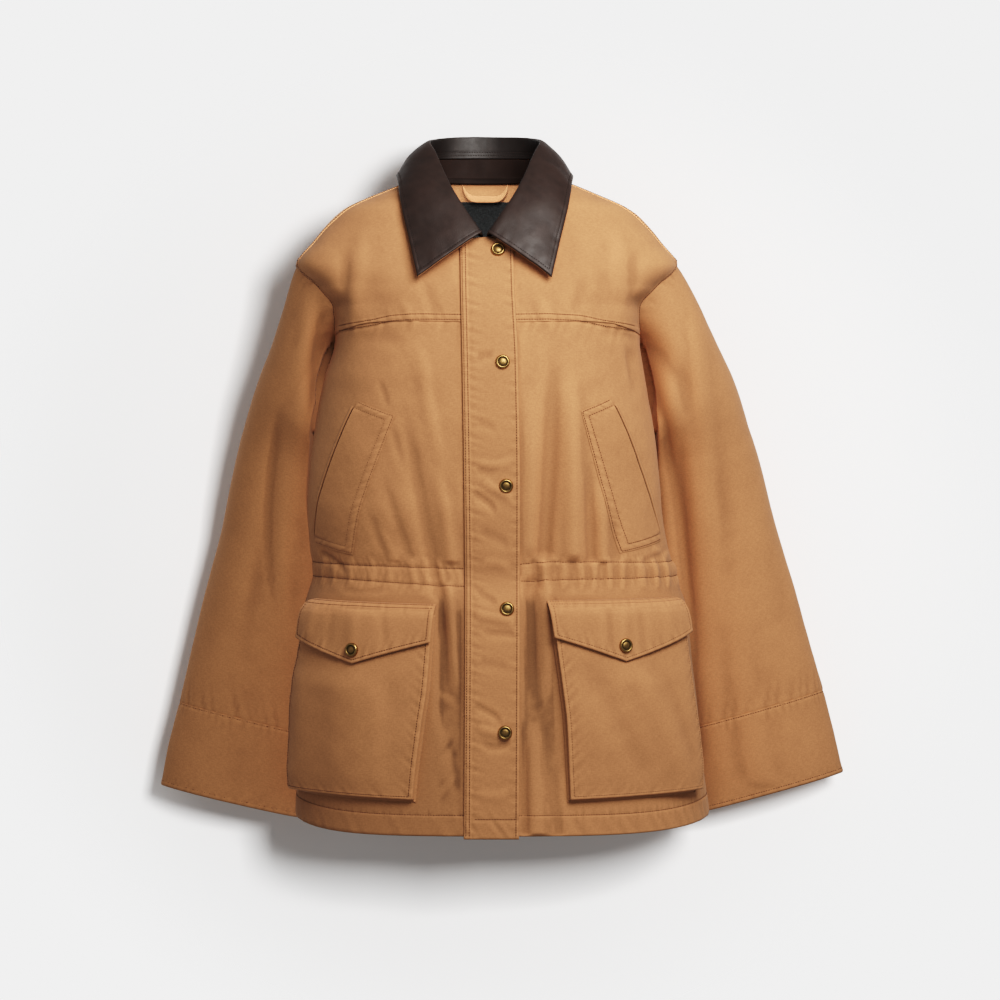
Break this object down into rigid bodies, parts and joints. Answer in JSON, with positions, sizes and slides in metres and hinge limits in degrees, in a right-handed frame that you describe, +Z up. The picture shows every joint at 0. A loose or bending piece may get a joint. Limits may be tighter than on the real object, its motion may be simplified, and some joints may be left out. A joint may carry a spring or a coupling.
{
  "type": "barn jacket",
  "caption": "Hip-length canvas barn jacket filled out with no wearer: leather point collar, snap placket, slanted welt pockets and flapped cargo pockets, wide sleeves.",
  "frame": {"origin": "between the shoulders at the base of the neck, where the wearer's neck and shoulders hold the jacket up", "axes": "+Z up, -Y towards the front of the jacket, +X towards the wearer's left"},
  "size_m": [0.7475, 0.2725, 0.7535],
  "materials": {
    "canvas": "matt tan cotton canvas, twill weave, worn soft at the edges",
    "leather": "dark brown smooth leather, low sheen",
    "label": "plain black woven label, blank",
    "brass": "antique brass, rubbed bright on the rims"
  },
  "bodies": {
    "root": {"back": "canvas", "yoke_right": "canvas", "yoke_left": "canvas", "front_right": "canvas", "front_left": "canvas", "placket": "canvas", "sleeve_right": "canvas", "sleeve_left": "canvas", "cuff_right": "canvas", "cuff_left": "canvas", "collar_leaf": "leather", "collar_stand": "leather", "under_collar": "canvas", "hanger_loop": "canvas", "neck_label": "label", "welt_right": "canvas", "welt_left": "canvas", "pocket_right": "canvas", "pocket_left": "canvas", "flap_right": "canvas", "flap_left": "canvas", "snap_1": "brass", "snap_2": "brass", "snap_3": "brass", "snap_4": "brass", "snap_5": "brass", "snap_pocket_right": "brass", "snap_pocket_left": "brass"}
  },
  "joints": []
}
